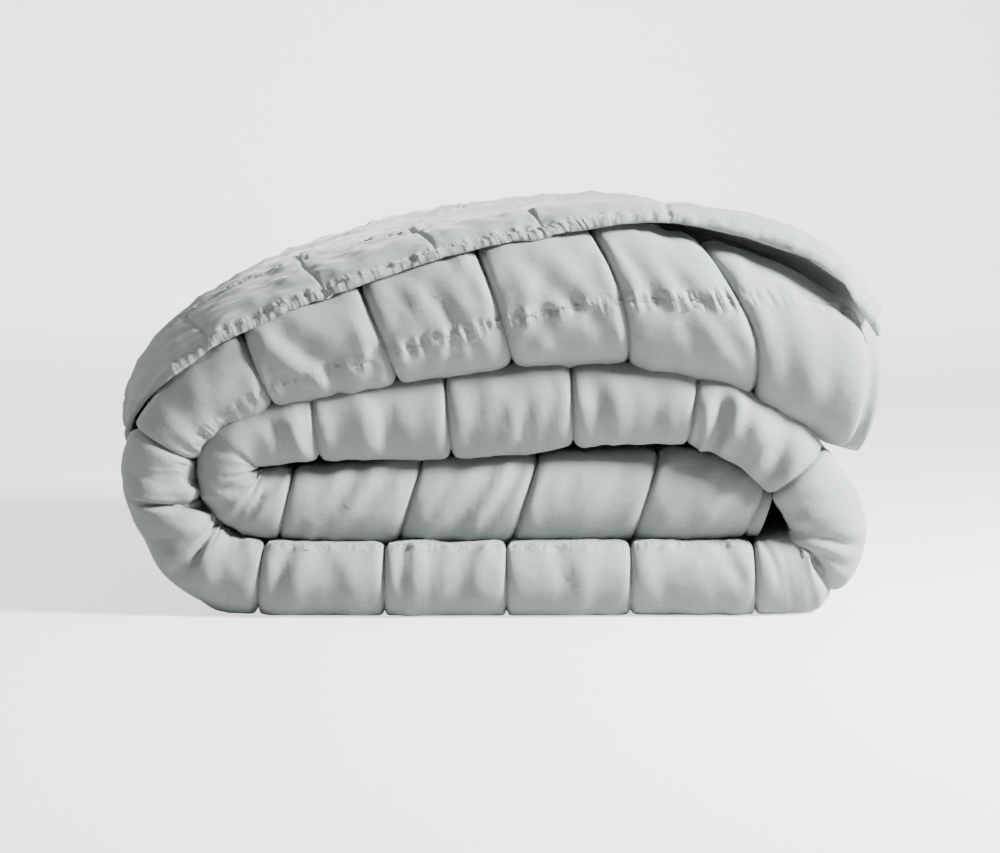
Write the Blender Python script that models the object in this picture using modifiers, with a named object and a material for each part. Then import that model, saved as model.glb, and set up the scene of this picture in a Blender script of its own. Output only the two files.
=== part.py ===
"""Folded linen quilt, as one padded sheet sewn in squares.

The quilt is folded lengthwise into a soft bundle of five layers, and the bundle is rolled up in four
runs. Run A is the inner end, B lies on A, C is the bottom run and D the top one. Four of the layers
end at the rounded front fold, and the fifth is a loose flap that lies over run D.

A point of the sheet has two places: how many squares it is from the inner end, along the roll, and
where it is on the line of the folded section, across the roll.
"""

import math
from collections import namedtuple

import bmesh
import bpy
import numpy as np
from mathutils import Matrix, Vector

MM = 0.001

# Driving sizes, in millimetres.
SQUARE = 97.0          # side of a quilted square
DEPTH = 480.0          # front fold to back fold
LOFT = 18.0            # thickness in the middle of a loose square
SEAM = 3.0             # thickness along a row of stitches
SINK = 3.5             # how far the stitches pull the cloth in on the outer faces
LAYER_GAP = 2.2        # air between two layers of the bundle
HEM = 9.0              # width of the stitched hem
NOSE_DEPTH = 0.8       # depth of a front or back fold over its half height
SPREAD = 75.0          # depth over which four layers at the front become five behind
RISE_DEPTH = 90.0      # depth over which the flap rises from the front fold
LIFT_DEPTH = 110.0     # depth over which a lifted flap comes down again
FOLD_INSET = 8.0       # inner back fold ahead of the outer ones
END_INSET = 6.0        # hem of the innermost layer ahead of the inner back fold
PRESSED = 7.0          # cloth that faces down and is lower than this lies flat on the surface

# A row for each cross seam, and one between them where the bundle bends. Sizes in millimetres.
#   square  squares from the inner end      lean    squares by which a cross seam slants
#   x, z    middle of the front fold        recess  front fold behind the quilt's front
#   thick   height of the front fold        hem     flap's hem behind the front fold
#   row     lengthwise stitches from the    swell   rise of the flap above the front fold
#           middle of the front fold        lift    rise of the flap's hem off what it lies on
Row = namedtuple("Row", "square x z thick row lean recess hem swell lift")
ROUTE = (
    Row(0.0, 212, 77, 35, 45, 0.10, 20, 102, 0, 0),
    Row(0.5, 166, 91, 68, 49, 0.25, 18, 102, 0, 0),
    Row(1.0, 117, 96, 76, 49, 0.30, 16, 102, 0, 0),
    Row(2.0, 19, 91, 68, 49, 0.28, 16, 102, 0, 0),
    Row(3.0, -74, 90.5, 66, 49, 0.24, 16, 102, 0, 0),
    Row(4.0, -166, 89, 54, 49, 0.10, 14, 102, 0, 0),
    Row(4.5, -195, 93, 47, 49, 0.0, 14, 102, 0, 0),
    Row(5.0, -208, 115, 44, 49, 0.0, 18, 102, 2, 0),
    Row(5.5, -196, 138, 44, 49, 0.0, 12, 102, 3, 0),
    Row(6.0, -142, 149, 56, 49, 0.0, 8, 102, 1, 0),
    Row(7.0, -39, 156.5, 62, 49, 0.0, 8, 102, 0, 0),
    Row(8.0, 60, 166.5, 60, 49, 0.0, 8, 102, 0, 0),
    Row(9.0, 157, 163, 52, 49, 0.0, 8, 102, 0, 0),
    Row(9.5, 199, 147, 55, 49, 0.0, 8, 102, 0, 0),
    Row(10.0, 239, 115, 60, 47, 0.0, 6, 102, 0, 0),
    Row(10.5, 259, 79, 63, 45, 0.0, 8, 102, 0, 0),
    Row(11.0, 256, 54, 59, 42, 0.0, 20, 102, 0, 0),
    Row(11.5, 237, 36, 56, 38, 0.0, 12, 102, 0, 0),
    Row(12.0, 204, 27.5, 56, 34, 0.0, 4, 102, 0, 0),
    Row(13.0, 104, 26.5, 56, 30, 0.0, 2, 102, 0, 0),
    Row(14.0, 4, 26.5, 56, 30, 0.0, 0, 102, 0, 0),
    Row(15.0, -94, 26.5, 56, 30, 0.0, 0, 102, 0, 0),
    Row(16.0, -194, 28.0, 56, 28, 0.0, 2, 102, 0, 0),
    Row(16.5, -243, 42, 55, 22, 0.0, 10, 102, 0, 0),
    Row(17.0, -272, 72, 56, 15, 0.0, 6, 102, 0, 0),
    Row(17.5, -278, 106, 56, 8, 0.0, 10, 76, 3, 0),
    Row(18.0, -274, 136, 57, 3, 0.0, 4, 40, 14, 0),
    Row(18.5, -246, 171, 60, 0, 0.0, 2, 14, 30, 0),
    Row(19.0, -195, 199, 71, 0, -0.08, 0, 12, 34, 0),
    Row(20.0, -99, 228, 87, 0, -0.12, 0, 14, 31, 0),
    Row(21.0, -5, 249, 101, 0, -0.12, 0, 18, 22, 0),
    Row(22.0, 93, 257, 113, 0, -0.30, 0, 20, 12, 0),
    Row(23.0, 200, 234, 110, 0, -0.30, 2, 18, 17, 14),
    Row(23.5, 251, 209, 102, 0, -0.38, 4, 14, 20, 18),
    Row(24.0, 299, 184, 96, 0, -0.50, 6, 14, 7, 5),
)
SQUARES = ROUTE[-1].square
BENDS = ((4, 6), (10, 12), (16, 18))               # squares where the bundle bends, from and to
STRAIGHT = ((0.22, 0.9), (0.78, 0.9))              # share of a square, and fullness there
BENT = ((0.22, 0.85), (0.5, 1.0), (0.78, 0.85))

STEPS = 24                                         # points of the section's line to a stretch

# Stretches of the folded section, from the hem inside the bundle to the flap's hem.
SECOND, INNER_NOSE, THIRD, BACK_FOLD, FOURTH, NOSE, FIRST, BACK_NOSE, FLAP = range(9)

# Stations before and after the front fold: a stretch, the share of its length, and how full the
# padding is there, from 0 on a row of stitches to 1 in the middle of a square.
Station = namedtuple("Station", "stretch share full")
BEFORE = (
    Station(SECOND, 0, 0.0), Station(SECOND, 1 / 2, 0.8),
    Station(INNER_NOSE, 0, 0.8), Station(INNER_NOSE, 1 / 3, 0.6), Station(INNER_NOSE, 2 / 3, 0.6),
    Station(THIRD, 0, 0.8), Station(THIRD, 1 / 2, 0.8),
    Station(BACK_FOLD, 0, 0.7), Station(BACK_FOLD, 1 / 2, 0.5),
    Station(FOURTH, 0, 0.7), Station(FOURTH, 1 / 2, 0.8),
)
NOSE_SPANS = 6                                     # spans to a square round the front fold
NOSE_FULL = (0.0, 0.75, 0.95, 1.0, 0.95, 0.75)     # fullness at them
NOSE_FIRST, NOSE_LAST = -5, 3                      # stations counted from the visible row
AFTER = (
    Station(FIRST, 1 / 2, 0.8),
    Station(BACK_NOSE, 0, 0.8), Station(BACK_NOSE, 1 / 4, 1.0), Station(BACK_NOSE, 1 / 2, 0.0),
    Station(BACK_NOSE, 3 / 4, 1.0),
)
FLAP_SPANS = 7                                     # half squares before the flap's last square
FLAP_END = ((SQUARE, 0.0), (70.0, 0.9), (36.0, 0.9), (HEM, 0.0), (0.0, 0.25))   # from its hem


def smooth_step(value):
    """A soft ramp from 0 to 1."""
    value = min(max(value, 0.0), 1.0)
    return value * value * (3.0 - 2.0 * value)


def mix(low, high, share):
    return low + (high - low) * share


def route_at(square):
    """The route's row at any number of squares, on smooth curves through the table's rows."""
    square = min(max(square, 0.0), SQUARES)
    index = max(i for i, row in enumerate(ROUTE[:-1]) if row.square <= square)
    near, far = ROUTE[index], ROUTE[index + 1]
    before = ROUTE[max(index - 1, 0)]
    after = ROUTE[min(index + 2, len(ROUTE) - 1)]
    span = far.square - near.square
    t = (square - near.square) / span
    values = []
    for a, b, c, d in zip(before, near, far, after):
        slope_b = (c - a) / (far.square - before.square) * span
        slope_c = (d - b) / (after.square - near.square) * span
        values.append(
            (2 * t**3 - 3 * t**2 + 1) * b + (t**3 - 2 * t**2 + t) * slope_b
            + (3 * t**2 - 2 * t**3) * c + (t**3 - t**2) * slope_c
        )
    return Row(*values)


def frame_at(square):
    """The middle of the front fold and the direction out of the roll, in the X-Z plane."""
    step = 0.02
    inside = min(max(square, step), SQUARES - step)
    here, back, ahead = route_at(inside), route_at(inside - step), route_at(inside + step)
    along = Vector((ahead.x - back.x, ahead.z - back.z)) / (2 * step)
    place = Vector((here.x, here.z)) + along * (square - inside)
    return place, Vector((-along.y, along.x)).normalized()


def arc(centre, radii, start, end):
    """Points (depth, height) of an elliptic arc, with angles from straight back."""
    angles = [math.radians(mix(start, end, i / STEPS)) for i in range(STEPS + 1)]
    return [(centre[0] + radii[0] * math.cos(a), centre[1] + radii[1] * math.sin(a)) for a in angles]


def level(start, knee, end, height):
    """Points of a layer, half of them on each side of its knee, at heights from a function."""
    half = STEPS // 2
    depths = [mix(start, knee, i / half) for i in range(half)]
    depths += [mix(knee, end, i / half) for i in range(half + 1)]
    return [(depth, height(depth)) for depth in depths]


def loft_at(row):
    """Thickness in the middle of a square, as much as the layers leave room for."""
    return min(LOFT, row.thick / 4 - LAYER_GAP, (row.thick + row.swell) / 5 - LAYER_GAP)


def section_at(row):
    """The folded section's nine stretches, as lists of points (depth, height out of the roll)."""
    loft = loft_at(row)
    free = loft + LAYER_GAP
    pitch = (row.thick - free) / 3
    pitch_behind = (row.thick + row.swell - free) / 4
    low = (free - row.thick) / 2
    front = -DEPTH / 2 + row.recess
    reach = 1.5 * pitch * NOSE_DEPTH
    middle = front + loft / 2 + reach
    back = DEPTH / 2 - loft / 2 - 2 * pitch_behind * NOSE_DEPTH
    fold = back - FOLD_INSET
    hem = front + row.hem
    knee = middle + SPREAD

    def layer(number):
        ahead = low + (number - 1) * pitch
        behind = low + (number - 1) * pitch_behind
        return lambda depth: mix(ahead, behind, smooth_step((depth - middle) / SPREAD))

    def flap(depth):
        half = mix(SEAM, loft, smooth_step((depth - hem) / (SQUARE / 2))) / 2
        over = max(middle - depth, 0.0) / (reach + free - loft / 2 + half)
        resting = (row.thick / 2 + LAYER_GAP + half) * math.sqrt(max(1.0 - over * over, 0.1))
        share = 1.0 if row.hem > SPREAD else smooth_step((depth - middle) / RISE_DEPTH)
        rise = row.lift * (1.0 - smooth_step((depth - front) / LIFT_DEPTH))
        return mix(resting, low + 4 * pitch_behind, share) + rise

    first, second, third, fourth = layer(1), layer(2), layer(3), layer(4)
    half_fold = pitch_behind / 2
    return (
        level(fold - END_INSET, knee, middle, second),
        arc((middle, 0.0), (0.5 * pitch * NOSE_DEPTH, 0.5 * pitch), 270, 90),
        level(middle, knee, fold, third),
        arc((fold, third(fold) + half_fold), (half_fold, half_fold), -90, 90),
        level(fold, knee, middle, fourth),
        arc((middle, 0.0), (reach, 1.5 * pitch), 90, 270),
        level(middle, knee, back, first),
        arc((back, third(back)), (2 * pitch_behind * NOSE_DEPTH, 2 * pitch_behind), -90, 90),
        level(back, mix(back, hem, 0.5), hem, flap),
    )


def stations_at(row):
    """Stations of the sheet across the roll: each one's point (depth, height), how far it is pulled
    in where it is sewn, and how full its padding is."""
    stretches = section_at(row)
    line = [point for stretch in stretches for point in stretch]
    depths, heights = np.array(line).T
    steps = np.hypot(np.diff(depths), np.diff(heights))
    along = np.concatenate([[0.0], np.cumsum(steps)])

    def place(station):
        return along[station.stretch * (STEPS + 1) + round(station.share * STEPS)]

    middle = place(Station(NOSE, 0.5, 0.0))
    flap_start, hem = place(Station(FLAP, 0.0, 0.0)), along[-1]
    spots = [(place(station), station.full) for station in BEFORE]
    for step in range(NOSE_FIRST, NOSE_LAST + 1):
        spots.append((middle + row.row + step * SQUARE / NOSE_SPANS, NOSE_FULL[step % NOSE_SPANS]))
    spots += [(place(station), station.full) for station in AFTER]
    for step in range(FLAP_SPANS):
        spots.append((mix(flap_start, hem - SQUARE, step / FLAP_SPANS), (FLAP_SPANS - step) % 2))
    spots += [(hem - distance, full) for distance, full in FLAP_END]
    where = [spot[0] for spot in spots]
    points = np.column_stack([np.interp(where, along, depths), np.interp(where, along, heights)])
    run = np.gradient(points, axis=0)
    run /= np.linalg.norm(run, axis=1)[:, None]
    inward = np.column_stack([-run[:, 1], run[:, 0]]) * SINK
    inward[:len(BEFORE)] = 0.0
    inward[-2:] = 0.0
    return list(zip(points, inward, [spot[1] for spot in spots]))


def squares_along():
    """The stations along the roll, in squares, with how full the padding is at each."""
    hem = HEM / SQUARE
    stations = [(0.0, 0.25), (hem, 0.0)]
    for number in range(int(SQUARES)):
        bent = any(low <= number < high for low, high in BENDS)
        stations += [(number, 0.0)] if number else []
        stations += [(number + share, full) for share, full in (BENT if bent else STRAIGHT)]
    return stations + [(SQUARES - hem, 0.0), (SQUARES, 0.25)]


def folded_sheet(name):
    """A flat grid folded onto the section and the route, with its local thickness as weights."""
    along = squares_along()
    columns = [stations_at(route_at(square)) for square, _ in along]
    across = len(columns[0])
    bm = bmesh.new()
    bmesh.ops.create_grid(bm, x_segments=len(along) - 1, y_segments=across - 1, size=1.0)
    loft_layer = bm.verts.layers.deform.new()
    for vert in bm.verts:
        i = round((vert.co.x + 1.0) / 2.0 * (len(along) - 1))
        j = round((vert.co.y + 1.0) / 2.0 * (across - 1))
        square, full_along = along[i]
        point, inward, full_across = columns[i][j]
        full = full_along * full_across
        depth, height = point + inward * (1.0 - full)
        row = route_at(square)
        centre, outward = frame_at(square + row.lean * height / row.thick)
        place = centre + outward * height
        vert.co = Vector((place.x, depth, place.y)) * MM
        vert[loft_layer][0] = mix(SEAM, loft_at(row), full) / LOFT
    mesh = bpy.data.meshes.new(name)
    bm.to_mesh(mesh)
    bm.free()
    return mesh


def linen():
    """Washed linen, pale grey green."""
    material = bpy.data.materials.new("washed_linen")
    material.use_nodes = True
    shader = material.node_tree.nodes["Principled BSDF"]
    shader.inputs["Base Color"].default_value = (0.48, 0.53, 0.52, 1.0)
    shader.inputs["Roughness"].default_value = 0.85
    shader.inputs["Metallic"].default_value = 0.0
    return material


def build():
    for obj in list(bpy.data.objects):
        bpy.data.objects.remove(obj, do_unlink=True)
    collection = bpy.data.collections.new("folded_linen_quilt")
    bpy.context.scene.collection.children.link(collection)

    sheet = bpy.data.objects.new("sheet", folded_sheet("sheet"))
    collection.objects.link(sheet)
    sheet.vertex_groups.new(name="loft")
    padding = sheet.modifiers.new("padding", "SOLIDIFY")
    padding.thickness = LOFT * MM
    padding.offset = 0.0
    padding.vertex_group = "loft"
    padding.thickness_vertex_group = 0.0

    bpy.context.view_layer.update()
    mesh = bpy.data.meshes.new_from_object(sheet.evaluated_get(bpy.context.evaluated_depsgraph_get()))
    bpy.data.objects.remove(sheet, do_unlink=True)
    underside = [vert for vert in mesh.vertices if vert.co.z < PRESSED * MM and vert.normal.z < 0.0]
    for vert in underside:
        vert.co.z = 0.0
    corners = [[f(vert.co[axis] for vert in mesh.vertices) for axis in (0, 1)] for f in (min, max)]
    centre = (Vector((*corners[0], 0.0)) + Vector((*corners[1], 0.0))) / 2
    mesh.transform(Matrix.Translation(-centre))
    mesh.materials.clear()
    mesh.materials.append(linen())
    mesh.shade_smooth()
    quilt = bpy.data.objects.new("quilt", mesh)
    collection.objects.link(quilt)


build()
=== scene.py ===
"""Dressed model of the folded linen quilt: its cloth, its stitches and a studio round it.

The quilt is one padded sheet sewn in squares. It is folded lengthwise into a bundle of layers that is
rolled up in four runs, and a point of it has two places: how many squares it is from the inner end,
along the roll, and how many it is from the hidden hem, across the roll.
"""

import math
from collections import namedtuple

import bmesh
import bpy
import numpy as np
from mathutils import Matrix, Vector


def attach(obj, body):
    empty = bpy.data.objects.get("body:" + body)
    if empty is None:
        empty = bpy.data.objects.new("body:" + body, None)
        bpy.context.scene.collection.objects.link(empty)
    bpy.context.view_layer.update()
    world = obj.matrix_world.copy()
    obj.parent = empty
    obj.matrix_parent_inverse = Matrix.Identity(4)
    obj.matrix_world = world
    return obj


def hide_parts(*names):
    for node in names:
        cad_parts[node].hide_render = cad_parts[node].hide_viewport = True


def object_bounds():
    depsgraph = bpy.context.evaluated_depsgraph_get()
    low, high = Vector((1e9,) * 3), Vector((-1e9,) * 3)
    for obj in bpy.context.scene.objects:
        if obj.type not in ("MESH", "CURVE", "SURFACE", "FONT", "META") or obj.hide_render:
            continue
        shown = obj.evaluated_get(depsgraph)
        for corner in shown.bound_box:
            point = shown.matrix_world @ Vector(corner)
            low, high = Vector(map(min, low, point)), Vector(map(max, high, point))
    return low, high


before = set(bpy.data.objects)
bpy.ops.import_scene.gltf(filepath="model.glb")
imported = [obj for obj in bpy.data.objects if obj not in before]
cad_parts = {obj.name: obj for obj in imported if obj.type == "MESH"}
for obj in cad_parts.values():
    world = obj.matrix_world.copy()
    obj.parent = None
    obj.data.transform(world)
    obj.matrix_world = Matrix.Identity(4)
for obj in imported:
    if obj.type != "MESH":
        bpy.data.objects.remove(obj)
CAD_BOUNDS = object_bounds()

bl_info = {
    "name": "Folded Linen Quilt",
    "version": (1, 0, 0),
    "blender": (4, 5, 0),
    "location": "3D View > Sidebar > Quilt",
    "description": "Makes the cloth and the stitches of a folded, rolled linen quilt, and its studio",
    "category": "Add Mesh",
}

MM = 0.001

# Sizes of the folds, in millimetres, near the solid's.
SQUARE = 97.0          # side of a quilted square
DEPTH = 480.0          # front fold to back fold
LOFT = 15.0            # thickness in the middle of a loose square
LAYER_GAP = 2.2        # air between two layers of the bundle
NOSE_DEPTH = 0.8       # depth of a front or back fold over its half height
SPREAD = 75.0          # depth over which four layers at the front become five behind
RISE_DEPTH = 90.0      # depth over which the flap rises from the front fold
LIFT_DEPTH = 110.0     # depth over which a lifted flap comes down again
FOLD_INSET = 8.0       # inner back fold ahead of the outer ones
END_INSET = 6.0        # hem of the innermost layer ahead of the inner back fold
PRESSED = 9.5          # cloth lower than this is pressed down
FLAT = 1.6             # and lower than this it lies flat on the surface
TURNED_DOWN = 0.35     # downward part of its direction from which it is pressed in full

# A row for each cross seam, and one between them where the bundle bends. Sizes in millimetres.
#   square  squares from the inner end      lean    squares by which a cross seam slants
#   x, z    middle of the front fold        recess  front fold behind the quilt's front
#   thick   height of the front fold        hem     flap's hem behind the front fold
#   row     lengthwise stitches from the    swell   rise of the flap above the front fold
#           middle of the front fold        lift    rise of the flap's hem off what it lies on
Row = namedtuple("Row", "square x z thick row lean recess hem swell lift")
ROUTE = (
    Row(0.0, 214, 80, 48, 49, 0.06, 24, 102, 0, 0),
    Row(0.5, 166, 90, 74, 52, 0.20, 23, 102, 0, 0),
    Row(1.0, 117, 92, 81, 54, 0.26, 23, 102, 0, 0),
    Row(2.0, 19, 90, 77, 54, 0.28, 23, 102, 0, 0),
    Row(3.0, -74, 89, 76, 54, 0.26, 22, 102, 0, 0),
    Row(4.0, -174, 86, 62, 54, 0.14, 20, 102, 0, 0),
    Row(4.5, -209, 92, 54, 54, 0.0, 17, 102, 0, 0),
    Row(5.0, -221, 116, 52, 54, 0.0, 14, 102, 2, 0),
    Row(5.5, -208, 140, 51, 54, 0.0, 13, 102, 3, 0),
    Row(6.0, -150, 152, 62, 54, 0.0, 14, 102, 1, 0),
    Row(7.0, -43, 159.5, 74, 54, 0.0, 16, 102, 0, 0),
    Row(8.0, 57, 168, 74, 54, 0.0, 16, 102, 0, 0),
    Row(9.0, 154, 166, 66, 52, 0.0, 12, 102, 0, 0),
    Row(9.5, 200, 148, 61, 50, 0.0, 8, 102, 0, 0),
    Row(10.0, 239, 116, 62, 50, 0.0, 6, 102, 0, 0),
    Row(10.5, 262, 81, 64, 48, 0.0, 8, 102, 0, 0),
    Row(10.8, 263, 53, 63, 46, 0.0, 10, 102, 0, 0),
    Row(11.0, 254, 38, 64, 44, 0.0, 12, 102, 0, 0),
    Row(11.5, 229, 33, 65, 38, 0.0, 6, 102, 0, 0),
    Row(12.0, 204, 29.5, 61, 33, 0.0, 4, 102, 0, 0),
    Row(13.0, 104, 29, 60, 30, 0.0, 2, 102, 0, 0),
    Row(14.0, 4, 29, 60, 30, 0.0, 0, 102, 0, 0),
    Row(15.0, -94, 29, 60, 30, 0.0, 0, 102, 0, 0),
    Row(16.0, -194, 30.5, 61, 30, 0.0, 2, 102, 0, 0),
    Row(16.5, -245, 45, 62, 34, 0.0, 8, 102, 0, 0),
    Row(17.0, -271, 90, 62, 30, 0.34, 6, 102, 0, 0),
    Row(17.5, -276, 114, 62, 20, 0.16, 8, 102, 3, 0),
    Row(18.0, -270, 137, 62, 20, 0.0, 4, 72, 14, 0),
    Row(18.5, -244, 170, 64, 21, 0.0, 2, 20, 30, 0),
    Row(19.0, -195, 198, 75, 18, -0.02, 0, 12, 34, 0),
    Row(20.0, -97, 227, 93, 16, -0.12, 0, 14, 31, 0),
    Row(21.0, -3, 248, 108, 10, -0.18, 0, 18, 22, 0),
    Row(22.0, 96, 255, 120, 1, -0.43, 0, 20, 12, 0),
    Row(23.0, 200, 231, 117, -19, -0.88, 2, 18, 15, 17),
    Row(23.5, 252, 204, 113, -40, -0.70, 4, 14, 13, 28),
    Row(23.75, 277, 189.5, 110, -49, -0.56, 5, 14, 7, 26),
    Row(24.0, 301, 173, 107, -58, -0.42, 6, 14, 0, 2),
)
ROUTE_TABLE = np.array(ROUTE)
ALONG = int(ROUTE[-1].square)                      # squares along the roll
STEPS = 48                                         # points of the section's line to each stretch
NOSE, BACK_NOSE, FLAP = 5, 7, 8                    # the front fold, back fold and flap among them

# Squares across the roll, from the hidden hem: to the row on the front fold, to the one on the back
# fold, and over the flap.
TO_FRONT, TO_BACK, OVER_FLAP = 13, 5, 5
BACK_SEAM = TO_FRONT + TO_BACK
ACROSS = BACK_SEAM + OVER_FLAP
FLAP_PARTS = 7                                     # half squares before the flap's last square

# Rows of points to a square across, from the hidden hem; the finest ones show.
ROWS_IN_SQUARE = (3,) * 4 + (6,) + (3,) * 6 + (8, 34, 28) + (6, 4, 4, 10) + (10, 10, 12, 20, 28)
POINTS_IN_SQUARE = 48                              # the same along the roll, beside the stitches
HEM_POINTS = 3                                     # the same in the width of a hem
MEDIUM, BEHIND, COARSE = 2, 4, 8                   # one in so many is kept elsewhere, behind, hidden
TUCKED, GROOVED = 8.0, 3.6                         # reach of the tucks and of the cross seams' grooves
INNER_STEP = 0.3                                   # squares across between the inner face's rows

# Where things are, in squares along the roll, or across it where that is said.
TOP_RUN = 16.4                                     # the topmost run starts
FIRST_TOP = 17.2                                   # the flap shows from here on
BENDS = ((4.2, 5.9), (9.0, 11.6), (16.0, 18.0))    # the roll turns back
LEFT_SMOOTH, RIGHT_SMOOTH = (17.2, 0.95), (11.2, 0.85)  # middle and reach of smooth cloth at a bend
CORNER_SMOOTH = (11.4, 0.62)                       # the same where the bottom run turns up
END_SMOOTH = 23.0                                  # smooth cloth below the flap from here on
FIRST_FRONT, LAST_FRONT = 11.7, 13.9               # across: what shows in front
LOWER_FRONT = 13.45                                # across: the last of it below the topmost run
FIRST_BACK, LAST_BACK = 17.3, 18.7                 # across: what shows behind
FADED = ((5, 12.72), (17, 12.66))                  # cross seams that run out, and where across
FADED_REACH = 0.3                                  # how far along the cloth lies flat there

# How far the flap has slipped back, in squares, at places across it, and its share along the roll.
FLAP_SLIP = ((18.5, 0.0), (19.5, -0.30), (20.5, -0.46), (21.5, -0.50), (22.3, -0.42), (23.0, -0.27))
SLIPPED = ((17.2, 0.0), (17.6, 0.22), (18.0, 0.48), (18.6, 0.60), (19.2, 0.68), (19.7, 0.88),
           (20.2, 1.0), (22.0, 1.0), (22.4, 0.9), (23.0, 0.5), (23.6, 0.1), (24.0, 0.0))
CENTRE = (-5.2, -1.8)                              # middle of the quilt's box from the sizes' zero

# How flat the padding fills a square: the higher, the flatter it is and the narrower its seams.
LOWER_FLATNESS, TOP_FLATNESS, ROW_FLATNESS = 13.0, 12.0, 2.6
ROW_DEPTH = 0.42       # depth of a lengthwise row, as a share of a cross seam's
LOWER_PULL = 0.3       # how far the rows pull in below the topmost run, as a share of there
FLAP_SEAM = 0.5        # depth of the flap's seams, as a share of the others'
FLAP_GROOVE = 0.4      # the same of the narrow crease along them
FLAP_PADDING = 0.7     # how full the flap is, as a share of the rest
GROOVE_WIDTH = 1.6     # half the width of that crease, in millimetres
INNER_SINK = 0.8       # how far the inner face is pulled in, as a share of the outer one
HEM_PADDING = 0.8      # half of what the turned hem adds to the thickness, in millimetres

# Noise on the cloth: its height, in millimetres or as a share of the puckers' or the crinkles', the
# millimetres along and across over which it changes, and its seed.
Grain = namedtuple("Grain", "height along across seed")
WANDER, DRIFT = Grain(9.0, 60, 60, 3), Grain(12.0, 33, 33, 6)
HOLLOWS = Grain(1.4, 58, 46, 5)
FOLDS, SOME_FOLDS = Grain(1.1, 8.5, 45, 21), Grain(1.5, 30, 200, 22)
TUCKS, FINE_TUCKS, TUCK_REACH = Grain(1.0, 3.3, 20, 24), Grain(0.4, 2.4, 9, 25), Grain(0.5, 8, 1, 23)
FLAP_RIDGES, FLAP_LUMPS = Grain(1.35, 34, 15, 11), Grain(0.99, 13, 8.5, 12)
FLAP_CRUMPLES = Grain(0.54, 6.5, 5, 13)
RUMPLES, SHORT_RUMPLES, CRINKLES = Grain(1.3, 30, 60, 14), Grain(0.8, 17, 34, 15), Grain(0.25, 9, 20, 16)
HEM_WAVES = (Grain(1.3, 3.2, 1, 31), Grain(1.3, 11, 1, 32), Grain(1.6, 45, 1, 33))
HEM_SWAYS = (Grain(0.8, 4.0, 1, 34), Grain(1.6, 25, 1, 35))
GATHERED = 0.06        # squares across, beside the flap's hem, that its gathers reach into

STITCH_LIFT = 0.15     # stitches above the cloth, in millimetres
LOWEST_STITCH = 1.0    # none is laid lower than this

# The studio, in metres, and its lights: where each is and points, its width, and its power as a
# share of the key light's.
WALL, CORNER, HALF_WIDTH = 5.5, 0.8, 8.0           # wall, curve up to it, half the floor's width
FLOOR_FRONT, WALL_TOP, FLOOR_DROP = -6.0, 6.0, 0.0004
FRONT, HEIGHT = CAD_BOUNDS[0][1], CAD_BOUNDS[1][2]
Lamp = namedtuple("Lamp", "name place width aim share")
LAMPS = (
    Lamp("key_light", (1.50, -0.66, 1.12), 0.5, (0.0, FRONT, HEIGHT / 2), 1.0),
    Lamp("wall_light", (0.0, 3.2, 3.0), 1.6, (0.0, WALL, 0.9), 1.4),
    Lamp("side_light", (-1.3, 0.0, 1.3), 1.2, (0.0, 0.0, HEIGHT / 2), 0.07),
)
TARGET, TARGET_DEPTH = (0.004, 0.144), 0.1         # the camera's aim, behind the quilt's front
VIEW_WIDTH = 0.795                                 # width in view at the quilt's front
SENSOR = 36.0                                      # the camera's sensor, in millimetres


def smooth_step(value):
    """A soft ramp from 0 to 1."""
    value = np.clip(value, 0.0, 1.0)
    return value * value * (3.0 - 2.0 * value)


def mix(low, high, share):
    """The value at that share of the way from low to high."""
    return low + (high - low) * share


def route_at(square):
    """The route's values at each number of squares, on smooth curves through the table's rows."""
    knots, last = ROUTE_TABLE[:, 0], len(ROUTE_TABLE) - 1
    square = np.clip(square, 0.0, ALONG)
    index = np.clip(np.searchsorted(knots, square, side="right") - 1, 0, last - 1)
    before, near, far, after = (ROUTE_TABLE[np.clip(index + k, 0, last)] for k in (-1, 0, 1, 2))
    span = far[..., :1] - near[..., :1]
    t = (np.asarray(square)[..., None] - near[..., :1]) / span
    slope_near = (far - before) / (far[..., :1] - before[..., :1]) * span
    slope_far = (after - near) / (after[..., :1] - near[..., :1]) * span
    return (
        (2 * t**3 - 3 * t**2 + 1) * near + (t**3 - 2 * t**2 + t) * slope_near
        + (3 * t**2 - 2 * t**3) * far + (t**3 - t**2) * slope_far
    )


def frame_at(square):
    """The middle of the front fold and the direction out of the roll, in the X-Z plane."""
    step = 0.02
    inside = np.clip(square, step, ALONG - step)
    here, back, ahead = (route_at(inside + k * step)[..., 1:3] for k in (0, -1, 1))
    along = (ahead - back) / (2 * step)
    place = here + along * (square - inside)[..., None]
    outward = np.stack([-along[..., 1], along[..., 0]], axis=-1)
    return place, outward / np.linalg.norm(outward, axis=-1, keepdims=True)


def arc(centre, radii, start, end):
    """Points (depth, height) of an elliptic arc, with angles from straight back."""
    angles = np.radians(np.linspace(start, end, STEPS + 1))
    return np.column_stack([centre[0] + radii[0] * np.cos(angles), centre[1] + radii[1] * np.sin(angles)])


def level(start, knee, end, height):
    """Points of a layer, half of them on each side of its knee, at heights from a function."""
    half = STEPS // 2
    depths = np.concatenate([
        np.linspace(start, knee, half, endpoint=False), np.linspace(knee, end, half + 1)
    ])
    return np.column_stack([depths, height(depths)])


def loft_at(row):
    """Thickness in the middle of a square, as much as the layers leave room for."""
    return min(LOFT, row.thick / 4 - LAYER_GAP, (row.thick + row.swell) / 5 - LAYER_GAP)


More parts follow.
